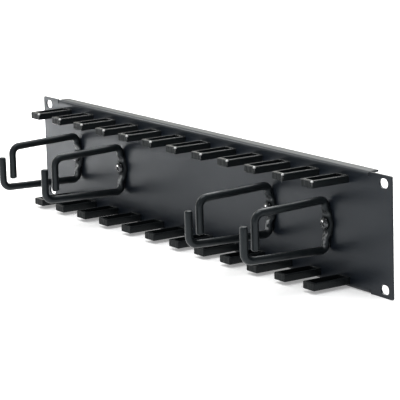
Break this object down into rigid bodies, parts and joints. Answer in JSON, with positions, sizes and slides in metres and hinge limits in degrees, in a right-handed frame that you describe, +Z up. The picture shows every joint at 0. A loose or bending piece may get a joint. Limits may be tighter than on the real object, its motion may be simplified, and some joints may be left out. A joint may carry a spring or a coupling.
{
  "type": "rack cable manager",
  "caption": "Folded rack panel with rows of snap-in fingers and screwed-on open wire rings that hold and guide cables.",
  "frame": {"origin": "middle of the four mounting slots, on the ears' rear face", "axes": "+X to the right as seen from the front, +Y to the rear into the rack, +Z up"},
  "size_m": [0.4826, 0.0872, 0.0882],
  "materials": {
    "panel": "satin black powder coat",
    "finger": "black moulded plastic",
    "ring": "smooth black coat on round steel wire",
    "screw": "black oxide",
    "nut": "zinc plated"
  },
  "bodies": {
    "root": {"panel": "panel", "finger_top_01": "finger", "finger_top_02": "finger", "finger_top_03": "finger", "finger_top_04": "finger", "finger_top_05": "finger", "finger_top_06": "finger", "finger_top_07": "finger", "finger_top_08": "finger", "finger_top_09": "finger", "finger_top_10": "finger", "finger_top_11": "finger", "finger_top_12": "finger", "finger_bottom_01": "finger", "finger_bottom_02": "finger", "finger_bottom_03": "finger", "finger_bottom_04": "finger", "finger_bottom_05": "finger", "finger_bottom_06": "finger", "finger_bottom_07": "finger", "finger_bottom_08": "finger", "finger_bottom_09": "finger", "finger_bottom_10": "finger", "finger_bottom_11": "finger", "finger_bottom_12": "finger", "ring_1": "ring", "ring_2": "ring", "ring_3": "ring", "ring_4": "ring", "ring_screws": "screw", "ring_nuts": "nut"}
  },
  "joints": []
}
